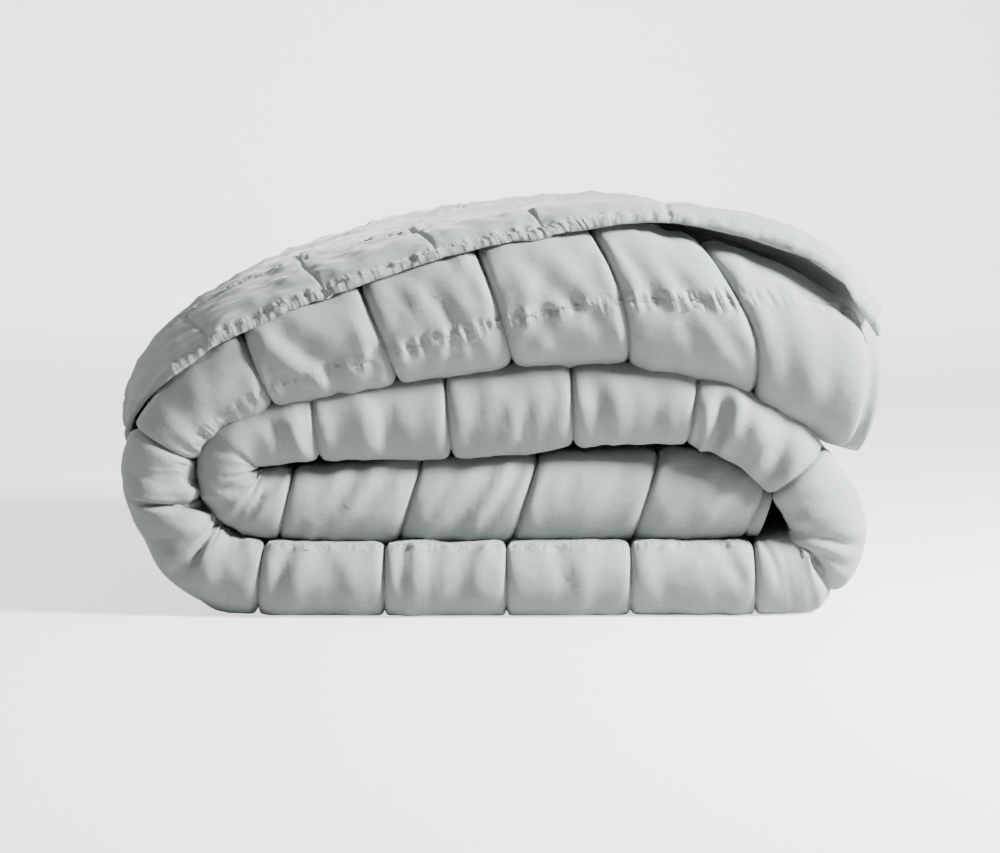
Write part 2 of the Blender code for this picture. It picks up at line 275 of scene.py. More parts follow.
def section_at(row, seam):
    """The folded section's nine stretches, as lists of points (depth, height out of the roll)."""
    loft = loft_at(row)
    free = loft + LAYER_GAP
    pitch = (row.thick - free) / 3
    pitch_behind = (row.thick + row.swell - free) / 4
    low = (free - row.thick) / 2
    front = -DEPTH / 2 + row.recess
    reach = 1.5 * pitch * NOSE_DEPTH
    middle = front + loft / 2 + reach
    back = DEPTH / 2 - loft / 2 - 2 * pitch_behind * NOSE_DEPTH
    fold = back - FOLD_INSET
    hem = front + row.hem
    knee = middle + SPREAD

    def layer(number):
        ahead = low + (number - 1) * pitch
        behind = low + (number - 1) * pitch_behind
        return lambda depth: mix(ahead, behind, smooth_step((depth - middle) / SPREAD))

    def flap(depth):
        half = mix(seam, loft, smooth_step((depth - hem) / (SQUARE / 2))) / 2
        over = np.maximum(middle - depth, 0.0) / (reach + free - loft / 2 + half)
        resting = (row.thick / 2 + LAYER_GAP + half) * np.sqrt(np.maximum(1.0 - over * over, 0.1))
        share = 1.0 if row.hem > SPREAD else smooth_step((depth - middle) / RISE_DEPTH)
        rise = row.lift * (1.0 - smooth_step((depth - front) / LIFT_DEPTH))
        return mix(resting, low + 4 * pitch_behind, share) + rise

    first, second, third, fourth = layer(1), layer(2), layer(3), layer(4)
    half_fold = pitch_behind / 2
    return (
        level(fold - END_INSET, knee, middle, second),
        arc((middle, 0.0), (0.5 * pitch * NOSE_DEPTH, 0.5 * pitch), 270, 90),
        level(middle, knee, fold, third),
        arc((fold, third(fold) + half_fold), (half_fold, half_fold), -90, 90),
        level(fold, knee, middle, fourth),
        arc((middle, 0.0), (reach, 1.5 * pitch), 90, 270),
        level(middle, knee, back, first),
        arc((back, third(back)), (2 * pitch_behind * NOSE_DEPTH, 2 * pitch_behind), -90, 90),
        level(back, mix(back, hem, 0.5), hem, flap),
    )


def noise(x, y, seed):
    """Soft noise from -1 to 1 that changes over about one unit of x and y."""
    table = np.random.default_rng(seed).uniform(-1.0, 1.0, (97, 89))
    left, low = np.floor(x).astype(int), np.floor(y).astype(int)
    across, up = smooth_step(x - left), smooth_step(y - low)

    def at(i, j):
        return table[(left + i) % table.shape[0], (low + j) % table.shape[1]]

    return mix(mix(at(0, 0), at(1, 0), across), mix(at(0, 1), at(1, 1), across), up)


def ripple(grain, x, y, shift=0.0):
    """Soft noise of one grain at places in millimetres."""
    return grain.height * noise(x / grain.along + shift, y / grain.across, grain.seed)


def ridges(grain, x, y):
    """The same with sharp ridges, as in crumpled cloth, from half its height down to minus half."""
    return grain.height * (0.5 - np.abs(noise(x / grain.along, y / grain.across, grain.seed)) ** 0.7)


def plateau(value, middle, reach):
    """1 round the middle, falling softly to 0 beyond the reach."""
    return np.exp(-((value - middle) / reach) ** 4)


def crowded(count, strength=0.6):
    """Shares from 0 to 1 that lie closer together near both ends, where the seams are."""
    t = np.arange(count) / count
    return t - strength * np.sin(2 * math.pi * t) / (2 * math.pi)


def coordinates(counts, hem, hem_points):
    """Places in squares with the given number of points to each, and a hem at both ends."""
    inner = np.concatenate([number + crowded(count) for number, count in enumerate(counts)])
    ends = np.linspace(0.0, hem, hem_points, endpoint=False)
    return np.concatenate([ends - hem, inner, len(counts) + (hem - ends)[::-1]])


def fullness(place, count, flatness, deep):
    """How full the padding is between seams at whole numbers, 1 in the middle of a square."""
    share = np.clip(place, 0.0, count - 1e-6) % 1.0
    return 1.0 - deep * (1.0 - (1.0 - np.abs(2.0 * share - 1.0) ** flatness) ** 0.8)


def hem_rise(place, count, hem):
    """0 inside the sheet, rising to 1 in the middle of the hem and down again to its edge."""
    over = np.maximum(-place, place - count) / hem
    return np.where(over > 0, np.sin(np.clip(over, 0.0, 1.0) * math.pi) ** 0.5, 0.0)


# Creases listed one by one: both ends in squares along and across, then depth and width in millimetres.
# A negative depth stands proud.
Crease = namedtuple("Crease", "square across to_square to_across depth width")
CREASES = (
    # The left bend: a fold into the pocket behind it, a pleat below that, and a soft hollow.
    Crease(17.02, 12.60, 16.98, 12.88, 4.0, 3.0), Crease(16.98, 12.86, 16.94, 13.10, 7.2, 6.0),
    Crease(16.88, 12.64, 16.76, 12.80, -1.9, 7.0), Crease(17.64, 12.98, 17.05, 12.95, -2.0, 6.0),
    Crease(16.63, 12.95, 16.53, 12.70, 5.4, 3.0), Crease(16.53, 12.70, 16.55, 12.52, 4.0, 3.0),
    Crease(16.66, 12.86, 16.62, 12.56, -2.4, 5.0), Crease(16.72, 12.42, 16.69, 12.74, 1.7, 5.0),
    Crease(16.40, 12.90, 16.36, 12.60, -2.0, 6.0),
    # The inner bend: two creases that meet at the fold between its layers.
    Crease(4.10, 12.70, 4.40, 12.62, 2.4, 3.4), Crease(4.40, 12.62, 4.78, 12.44, 3.0, 3.6),
    Crease(4.10, 12.66, 4.28, 12.54, 2.4, 3.4), Crease(4.28, 12.54, 4.42, 12.38, 3.0, 3.6),
    Crease(5.30, 12.40, 5.45, 12.70, 1.4, 5.0),
    # The innermost run: long slanting folds.
    Crease(3.59, 12.68, 3.72, 12.28, -2.3, 5.0), Crease(3.30, 12.72, 3.56, 12.40, -2.0, 6.5),
    Crease(3.46, 12.70, 3.66, 12.42, 2.2, 6.0), Crease(3.17, 12.70, 3.33, 12.50, 1.8, 4.5),
    Crease(2.26, 12.66, 2.38, 12.34, -2.2, 5.0), Crease(2.11, 12.72, 2.28, 12.34, 2.0, 5.0),
    Crease(1.88, 12.68, 1.97, 12.44, -1.6, 5.0), Crease(2.66, 12.70, 2.78, 12.46, 1.5, 6.0),
    Crease(1.35, 12.66, 1.45, 12.44, -1.5, 5.0), Crease(1.62, 12.72, 1.66, 12.52, 1.5, 5.0),
    Crease(0.62, 12.70, 0.68, 12.48, 1.2, 6.0),
    # The second run: upright folds, and a deep dent near the right bend.
    Crease(6.36, 12.36, 6.42, 12.64, -3.0, 7.0), Crease(6.52, 12.40, 6.56, 12.62, 2.4, 6.0),
    Crease(5.86, 12.46, 5.94, 12.68, -2.6, 5.0), Crease(5.76, 12.46, 5.83, 12.66, 2.6, 4.0),
    Crease(6.16, 12.40, 6.14, 12.64, 1.9, 6.0), Crease(7.56, 12.44, 7.44, 12.70, -2.7, 5.0),
    Crease(7.63, 12.48, 7.57, 12.68, 2.7, 4.5), Crease(7.85, 12.36, 7.79, 12.62, 2.2, 6.0),
    Crease(7.24, 12.40, 7.20, 12.64, 2.0, 6.0), Crease(8.37, 12.40, 8.36, 12.72, -2.6, 7.0),
    Crease(8.21, 12.36, 8.24, 12.68, 2.4, 6.0), Crease(8.70, 12.44, 8.72, 12.68, 2.0, 6.0),
    Crease(9.20, 12.44, 9.30, 12.76, 7.2, 5.0), Crease(9.30, 12.38, 9.74, 12.70, -3.2, 7.0),
    Crease(9.42, 12.46, 9.59, 12.60, 3.1, 4.5), Crease(9.69, 12.32, 9.81, 12.64, 2.6, 6.0),
    # The right bend: creases over it, and a pocket behind them.
    Crease(10.26, 12.60, 10.24, 12.20, 2.4, 9.0), Crease(10.44, 12.66, 10.62, 12.34, -2.2, 9.0),
    Crease(10.70, 12.58, 10.71, 12.38, 3.2, 3.2), Crease(10.84, 12.56, 10.85, 12.36, 2.6, 3.0),
    Crease(10.98, 12.66, 11.02, 13.30, 9.5, 9.0), Crease(11.00, 12.36, 10.98, 12.66, 4.6, 5.5),
    Crease(11.34, 12.96, 11.24, 12.44, -1.2, 12.0),
    # The bottom run: short folds below its stitches.
    Crease(13.59, 12.96, 13.50, 12.74, 2.7, 5.0), Crease(13.36, 12.88, 13.40, 12.68, -1.6, 6.0),
    Crease(12.26, 12.94, 12.17, 12.74, 3.0, 5.0), Crease(12.50, 12.80, 12.44, 12.60, -1.8, 7.0),
    Crease(15.77, 12.92, 15.83, 12.68, 2.3, 4.5), Crease(15.64, 12.92, 15.69, 12.64, -1.9, 6.0),
    Crease(14.74, 12.92, 14.72, 12.76, -1.2, 4.5), Crease(14.85, 12.93, 14.83, 12.74, 2.2, 4.0),
    Crease(14.63, 12.92, 14.62, 12.72, 1.8, 4.0), Crease(12.79, 12.88, 12.72, 12.64, 1.6, 5.0),
    Crease(14.31, 12.92, 14.36, 12.66, 1.8, 6.0), Crease(11.80, 12.92, 11.70, 12.72, 1.8, 6.0),
    Crease(15.30, 12.86, 15.26, 12.62, -1.6, 7.0),
    # The topmost run: slanting folds down to its stitches, and shorter ones below them.
    Crease(19.17, 12.66, 19.44, 13.05, -2.9, 6.0), Crease(19.31, 12.66, 19.56, 12.92, 2.6, 7.0),
    Crease(18.93, 12.74, 18.74, 12.90, 0.8, 7.0), Crease(18.40, 12.60, 18.45, 12.84, 0.6, 8.0),
    Crease(20.37, 12.60, 20.47, 12.90, -2.6, 6.0), Crease(20.53, 12.60, 20.67, 12.88, 2.3, 6.0),
    Crease(20.18, 12.80, 19.98, 12.92, 1.6, 6.0), Crease(19.53, 12.96, 19.56, 13.20, 2.3, 5.0),
    Crease(19.68, 13.00, 19.66, 13.22, -1.8, 5.0), Crease(20.72, 13.04, 20.74, 13.22, 1.8, 5.0),
    Crease(20.40, 13.04, 20.36, 13.24, -1.6, 6.0), Crease(21.39, 13.03, 21.41, 13.24, 2.2, 5.0),
    Crease(21.26, 13.02, 21.26, 13.22, -1.8, 5.0), Crease(21.70, 13.04, 21.81, 13.32, 1.6, 6.0),
    Crease(21.37, 12.60, 21.53, 12.90, 1.8, 7.0), Crease(21.62, 12.66, 21.72, 12.92, -1.8, 7.0),
    Crease(22.38, 12.80, 22.44, 13.00, -1.8, 6.0), Crease(22.48, 12.84, 22.58, 13.00, 1.5, 6.0),
    Crease(22.39, 13.04, 22.56, 13.34, 1.9, 6.0), Crease(22.69, 13.06, 22.86, 13.32, 1.7, 6.0),
    Crease(22.20, 12.72, 22.24, 12.96, 1.5, 6.0), Crease(23.21, 13.10, 23.28, 13.48, 1.4, 7.0),
    Crease(23.61, 13.12, 23.61, 13.50, 1.4, 7.0), Crease(23.42, 13.10, 23.44, 13.46, -1.2, 7.0),
)


class Cloth:
    """The folded sheet as arrays: a point for each place along (rows) and across (columns)."""

    def __init__(self, sizes):
        self.seam, self.hem = sizes.seam / MM, sizes.hem / MM / SQUARE
        self.along = coordinates((POINTS_IN_SQUARE,) * ALONG, self.hem, HEM_POINTS)
        self.across = coordinates(ROWS_IN_SQUARE, self.hem, HEM_POINTS)
        # The hem at each end along is the edge of the first and last square.
        squares = np.interp(self.along, [-self.hem, 0, 1, ALONG - 1, ALONG, ALONG + self.hem],
                            [0, self.hem, 1, ALONG - 1, ALONG - self.hem, ALONG])
        x, y = squares[:, None] * SQUARE, self.across[None, :] * SQUARE
        self.flat = np.stack(np.broadcast_arrays(x, y), -1)
        along_hem = hem_rise(self.along, ALONG, self.hem)[:, None]
        across_hem = hem_rise(self.across, ACROSS, self.hem)[None, :]
        # Only the topmost run is pulled in much by its lengthwise rows.
        pull = mix(LOWER_PULL, 1.0, smooth_step((self.along - TOP_RUN) / 0.8))[:, None]
        # On the outside of the two left bends a cross seam is drawn flat.
        faded = sum(plateau(self.along, square, FADED_REACH)[:, None]
                    * smooth_step((limit - self.across) / 0.12) for square, limit in FADED)
        over_back = smooth_step((self.across - FIRST_BACK) / 1.5)
        full = self.padding(pull, faded, over_back)
        middle, loft = self.middle(squares)
        self.gather(middle, x)
        self.normal = self.normals(middle)
        # Hidden rows keep their place; from the front fold on, the stitches pull the cloth in.
        sunk = smooth_step((self.across - (TO_FRONT - 2.0)) / 0.5)[None, :] * (1.0 - full) * pull
        sunk *= (1.0 - across_hem) * sizes.sink / MM
        half = mix(self.seam, loft, full) / 2 + HEM_PADDING * np.maximum(along_hem, across_hem)
        from_seam = np.abs(self.along - np.round(self.along))[:, None] * SQUARE
        groove = sizes.groove / MM * np.exp(-(from_seam / GROOVE_WIDTH) ** 2)
        groove = groove * (1.0 - across_hem) * (1.0 - faded) * mix(1.0, FLAP_GROOVE, over_back)
        rise = half - sunk - groove + self.wrinkles(x, y, full, sizes)
        self.outer = middle + self.normal * rise[..., None]
        self.inner = middle - self.normal * (half + INNER_SINK * sunk)[..., None]
        self.press(self.outer, self.normal[..., 2])
        self.press(self.inner, -self.normal[..., 2])

    def padding(self, pull, faded, over_back):
        """How full the padding is: 1 in the middle of a square, least on the seams."""
        flatness = np.where(self.along < TOP_RUN, LOWER_FLATNESS, TOP_FLATNESS)
        along_full = mix(fullness(self.along, ALONG, flatness, 1.0)[:, None], 1.0, faded)
        along_full = 1.0 - (1.0 - along_full) * mix(1.0, FLAP_SEAM, over_back)
        # A lengthwise row lies shallow in the cloth, a cross seam and a hem cut deeper.
        from_edge = np.minimum(self.across, ACROSS - self.across)
        depth = np.where(from_edge < 0.5, 1.0, ROW_DEPTH)
        across_full = fullness(self.across, ACROSS, ROW_FLATNESS, depth)
        full = along_full * (1.0 - (1.0 - across_full) * pull)
        return full * mix(1.0, FLAP_PADDING, smooth_step(self.across - FIRST_BACK - 1.5))[None, :]

    def middle(self, squares):
        """The middle of the sheet's thickness as points, its loft, and the sheet's mean width."""
        columns = [self.column(Row(*values)) for values in route_at(squares)]
        spots, loft, width = (np.array(part) for part in zip(*columns))
        self.width = float(width.mean())
        row = Row(*(values[:, None] for values in route_at(squares).T))
        slip = np.interp(self.across, *zip(*FLAP_SLIP))[None, :]
        slip = slip * np.interp(self.along, *zip(*SLIPPED))[:, None]
        rising = np.minimum(spots[..., 1] / row.thick, 0.5)
        slant = row.lean * (rising + 0.8 * np.where(row.square > TOP_RUN, rising * rising, 0.0))
        centre, outward = frame_at(squares[:, None] + slant + slip)
        place = centre + outward * spots[..., 1:]
        return np.stack([place[..., 0], spots[..., 0], place[..., 1]], axis=-1), loft[:, None]

    def gather(self, middle, x):
        """Moves the flap's hem up and down and to and fro, as its stitches gather it."""
        over = np.clip((self.across - ACROSS + GATHERED) / (self.hem + GATHERED), 0.0, 1.0)[None, :]
        middle[..., 2] += over * sum(ripple(grain, x, over) for grain in HEM_WAVES)
        middle[..., 1] += over * sum(ripple(grain, x, over) for grain in HEM_SWAYS)

    @staticmethod
    def press(side, facing):
        """Flattens what lies low and faces down, as the quilt's weight does."""
        height = np.clip(side[..., 2], 0.0, None)
        low = PRESSED * (np.clip(height - FLAT, 0.0, None) / (PRESSED - FLAT)) ** 2
        under = np.where(height < PRESSED, smooth_step(-facing / TURNED_DOWN), 0.0)
        side[..., 2] = mix(height, low, under)

    def column(self, row):
        """Points (depth, height) across the roll at one row of the route, loft and sheet's width."""
        line = np.concatenate(section_at(row, self.seam))
        along = np.concatenate([[0.0], np.cumsum(np.hypot(*np.diff(line, axis=0).T))])

        def place(stretch, share):
            return along[stretch * (STEPS + 1) + round(share * STEPS)]

        front, back = place(NOSE, 0.5) + row.row, place(BACK_NOSE, 0.5)
        start, end, hem = place(FLAP, 0.0), along[-1], self.hem * SQUARE
        seams = np.concatenate([
            np.linspace(hem, front, TO_FRONT + 1),
            np.linspace(front, back, TO_BACK + 1)[1:],
            [mix(start, end - SQUARE, share / FLAP_PARTS) for share in range(1, FLAP_PARTS + 1, 2)],
            [end - hem],
        ])
        knots = np.concatenate([[-self.hem], np.arange(ACROSS + 1), [ACROSS + self.hem]])
        where = np.interp(self.across, knots, np.concatenate([[0.0], seams, [end]]))
        points = np.column_stack([np.interp(where, along, line[:, k]) for k in (0, 1)])
        return points, loft_at(row), end

    @staticmethod
    def normals(points):
        """Directions out of the roll at the front fold, and on the same side of the cloth elsewhere."""
        normal = np.cross(np.gradient(points, axis=0), np.gradient(points, axis=1))
        normal /= np.linalg.norm(normal, axis=-1, keepdims=True) + 1e-9
        front = np.argmin(points[..., 1], axis=1)
        facing = normal[np.arange(len(points)), front, 1].mean()
        return normal if facing < 0 else -normal

    def wrinkles(self, x, y, full, sizes):
        """How far the outer face stands off its plain pillows, in millimetres."""
        x, y = np.broadcast_arrays(x, y)
        square = x / SQUARE
        on_flap = smooth_step((y / SQUARE - BACK_SEAM) / 0.5)
        lower = 1.0 - smooth_step(square - TOP_RUN)
        # The cloth is stretched smooth round two bends and at the end of the topmost run.
        at_end = (1.0 - on_flap) * smooth_step((square - END_SMOOTH) / 0.4) * 0.8
        bent = plateau(square, *LEFT_SMOOTH) + plateau(square, *RIGHT_SMOOTH)
        bent = np.minimum(bent + at_end, 1.0)
        pucker = (1.0 - 0.85 * bent) * (1.0 - 0.62 * lower) * (1.0 - 0.3 * on_flap)
        crinkle = (1.0 - on_flap) * (1.0 - 0.25 * lower) * (1.0 - 0.5 * bent)
        crinkle = crinkle * (1.0 - 0.6 * plateau(square, *CORNER_SMOOTH))
        shape = full * ripple(HOLLOWS, x, y) + sizes.pucker / MM * pucker * self.puckers(x, y)
        # The loose flap is crumpled, the front folds are only rumpled.
        shape += sizes.crinkle / MM * full * (on_flap * self.crumpled(x, y) + crinkle * self.rumpled(x, y))
        return shape - sum(self.depth_of(crease, x, y) for crease in CREASES)

    @staticmethod
    def puckers(x, y):
        """Folds that run out from the lengthwise rows of stitches, and tucks close beside them."""
        seams = np.round(np.clip(y / SQUARE, 0, ACROSS))
        away = np.abs(y / SQUARE - seams) * SQUARE
        slanted = x + 0.35 * y + ripple(WANDER, x, y)
        folds = ripple(FOLDS, slanted, away, seams * 31.7)
        folds = folds * smooth_step(ripple(SOME_FOLDS, x, y, seams * 17.3) + 0.55)
        folds = folds * np.exp(-away / 19.0) * smooth_step(away / 5.0 + 0.2)
        reach = 3.0 + 5.5 * (0.5 + ripple(TUCK_REACH, x, 0 * y, seams * 11.1))
        tucks = ripple(TUCKS, x, away, seams * 41.3) + ripple(FINE_TUCKS, x, away)
        return folds + tucks * np.exp(-((away / reach) ** 1.4)) * smooth_step(away / 1.5 + 0.35)

    @staticmethod
    def crumpled(x, y):
        """Ridges and lumps of loose cloth."""
        drift = ripple(DRIFT, x, y)
        return (ridges(FLAP_RIDGES, x + drift, y - 0.2 * x) + ripple(FLAP_LUMPS, x - drift, y)
                + ripple(FLAP_CRUMPLES, x, y + drift))

    @staticmethod
    def rumpled(x, y):
        """Long slanting rumples of padded cloth."""
        wander = ripple(WANDER, x, y)
        slanted = x + 0.5 * y + 1.6 * wander
        return (ridges(RUMPLES, slanted, y) + ridges(SHORT_RUMPLES, x - 0.3 * y + wander, y)
                + ripple(CRINKLES, slanted, y))

    @staticmethod
    def depth_of(crease, x, y):
        """Depth of one listed crease, with a soft lip on both sides."""
        start = np.array([crease.square, crease.across]) * SQUARE
        line = np.array([crease.to_square, crease.to_across]) * SQUARE - start
        length = math.hypot(*line)
        run = ((x - start[0]) * line[0] + (y - start[1]) * line[1]) / length
        side = ((y - start[1]) * line[0] - (x - start[0]) * line[1]) / length
        # It wavers a little to both sides of its line.
        side = side + 1.6 * np.sin(run / length * 3.0 + crease.square * 9.0) - 0.6
        lip = 0.35 * np.exp(-((np.abs(side) - 2.1 * crease.width) / crease.width) ** 2)
        fold = np.exp(-np.abs(side / crease.width) ** 1.4) - lip
        past = np.maximum(np.maximum(-run, run - length), 0.0)
        return crease.depth * fold * np.exp(-((past / (3.0 + crease.width)) ** 2))

    def rows_and_faces(self):
        """Points and faces of the closed cloth, with fewer points where it doesn't show."""
        count_along, count_across = len(self.along), len(self.across)
        last = count_along - 1
        index = {}

        def number(side, i, j):
            """Number of a point, the next free one if it has none."""
            return index.setdefault((side, i, j), len(index))

        def step_at(square, across):
            """Points to skip along the roll: fewest beside the stitches and in the bends that show."""
            front = FIRST_FRONT <= across <= (LAST_FRONT if square > TOP_RUN else LOWER_FRONT)
            back = FIRST_BACK <= across <= LAST_BACK
            if not front and not back and not (across > LAST_BACK and square > FIRST_TOP):
                return COARSE
            if back:
                return BEHIND
            beside = min(abs(across - round(min(across, ACROSS))) * SQUARE / TUCKED,
                         abs(square - round(square)) * SQUARE / GROOVED)
            bent = front and any(start < square < end for start, end in BENDS)
            return 1 if beside < 1.0 or bent else MEDIUM

        def strip(side, other, j, k, first, second):
            """Faces between row j of one side and row k of another."""
            shared = sorted(set(first) & set(second))
            found = []
            for low, high in zip(shared, shared[1:]):
                near = [number(side, i, j) for i in first if low <= i <= high]
                far = [number(other, i, k) for i in second if low <= i <= high]
                found.append(near + far[::-1])
            return found

        fine = [[i for i, square in enumerate(self.along)
                 if i == last or i % step_at(square, across) == 0 or i % COARSE == 0]
                for across in self.across]
        plain = [i for i in range(count_along) if i % COARSE == 0 or i == last]
        inner_rows, last_row = [0], 0.0
        for j, across in enumerate(self.across):
            if across - last_row > INNER_STEP or j == count_across - 1:
                inner_rows.append(j)
                last_row = across
        faces = []
        for j in range(count_across - 1):
            faces += strip("outer", "outer", j, j + 1, fine[j], fine[j + 1])
        for j, k in zip(inner_rows, inner_rows[1:]):
            faces += [face[::-1] for face in strip("inner", "inner", j, k, plain, plain)]
        faces += strip("inner", "outer", 0, 0, plain, fine[0])
        end = count_across - 1
        faces += strip("outer", "inner", end, end, fine[end], plain)
        for i, turned in ((0, True), (last, False)):
            for low, high in zip(inner_rows, inner_rows[1:]):
                face = [number("outer", i, j) for j in range(low, high + 1)]
                face += [number("inner", i, high), number("inner", i, low)]
                faces.append(face if turned else face[::-1])
        return index, faces


def srgb(code):
    """Linear colour, as Blender's sockets take it, from a hex one."""
    parts = [int(code[i:i + 2], 16) / 255 for i in (0, 2, 4)]
    return tuple(p / 12.92 if p <= 0.04045 else ((p + 0.055) / 1.055) ** 2.4 for p in parts)


def add(tree, kind, settings=(), inputs=(), links=()):
    """A node of a tree, with its settings, its inputs' values and the links into it."""
    node = tree.nodes.new(kind)
    for name, value in dict(settings).items():
        setattr(node, name, value)
    for name, value in dict(inputs).items():
        node.inputs[name].default_value = value
    for name, socket in dict(links).items():
        tree.links.new(socket, node.inputs[name])
    return node


class QuiltSizes(bpy.types.PropertyGroup):
    """Sizes of the sewing and of the cloth's wrinkles"""
    seam: bpy.props.FloatProperty(
        name="Seam", description="Thickness of the quilt along a row of stitches",
        default=0.0024, min=0.001, max=0.008, precision=4, unit="LENGTH")
    sink: bpy.props.FloatProperty(
        name="Sink", description="How far the stitches pull the cloth in on its outer face",
        default=0.0022, min=0.0, max=0.008, precision=4, unit="LENGTH")
    groove: bpy.props.FloatProperty(
        name="Groove", description="Depth of the narrow crease along a cross seam",
        default=0.0018, min=0.0, max=0.005, precision=4, unit="LENGTH")
    hem: bpy.props.FloatProperty(
        name="Hem", description="Width of the stitched hem",
        default=0.009, min=0.004, max=0.03, precision=4, unit="LENGTH")
    pucker: bpy.props.FloatProperty(
        name="Pucker", description="Height of the tucks beside the stitches",
        default=0.0028, min=0.0, max=0.006, precision=4, unit="LENGTH")
    crinkle: bpy.props.FloatProperty(
        name="Crinkle", description="Height of the crinkles of washed linen",
        default=0.0024, min=0.0, max=0.006, precision=4, unit="LENGTH")
    stitch: bpy.props.FloatProperty(
        name="Stitch", description="Length of a stitch",
        default=0.0034, min=0.001, max=0.01, precision=4, unit="LENGTH")
    stitch_step: bpy.props.FloatProperty(
        name="Stitch Step", description="From the start of a stitch to the start of the next",
        default=0.0052, min=0.002, max=0.02, precision=4, unit="LENGTH")
    thread: bpy.props.FloatProperty(
        name="Thread", description="Thickness of the sewing thread",
        default=0.0008, min=0.0002, max=0.003, precision=4, unit="LENGTH")


class QuiltColours(bpy.types.PropertyGroup):
    """Colours of the quilt and the studio"""
    linen: bpy.props.FloatVectorProperty(
        name="Linen", description="Colour of the cloth where it is lightest", subtype="COLOR",
        size=3, min=0.0, max=1.0, default=srgb("878d8c"))
    shade: bpy.props.FloatVectorProperty(
        name="Shaded Linen", description="Colour of the cloth's darker yarns", subtype="COLOR",
        size=3, min=0.0, max=1.0, default=srgb("6f7776"))
    thread: bpy.props.FloatVectorProperty(
        name="Thread", description="Colour of the sewing thread", subtype="COLOR",
        size=3, min=0.0, max=1.0, default=srgb("868d8c"))
    studio: bpy.props.FloatVectorProperty(
        name="Studio", description="Colour of the floor and the wall", subtype="COLOR",
        size=3, min=0.0, max=1.0, default=srgb("b8b8b8"))


class QuiltStage(bpy.types.PropertyGroup):
    """Camera and lights"""
    distance: bpy.props.FloatProperty(
        name="Camera Distance", description="From the camera to the quilt's front",
        default=2.46, min=0.5, max=10.0, unit="LENGTH")
    elevation: bpy.props.FloatProperty(
        name="Camera Elevation", description="Height of the camera, as an angle",
        default=math.radians(6.0), min=0.0, max=1.5, subtype="ANGLE", unit="ROTATION")
    key: bpy.props.FloatProperty(
        name="Key Light", description="Power of the main light, at the right", default=275.0, min=0.0,
        unit="POWER")
    glow: bpy.props.FloatProperty(
        name="Paper Glow", description="Light added to the floor and the wall in view",
        default=1.45, min=0.0)
    fill: bpy.props.FloatProperty(
        name="Sky", description="Strength of the even light from all sides", default=0.15, min=0.0)


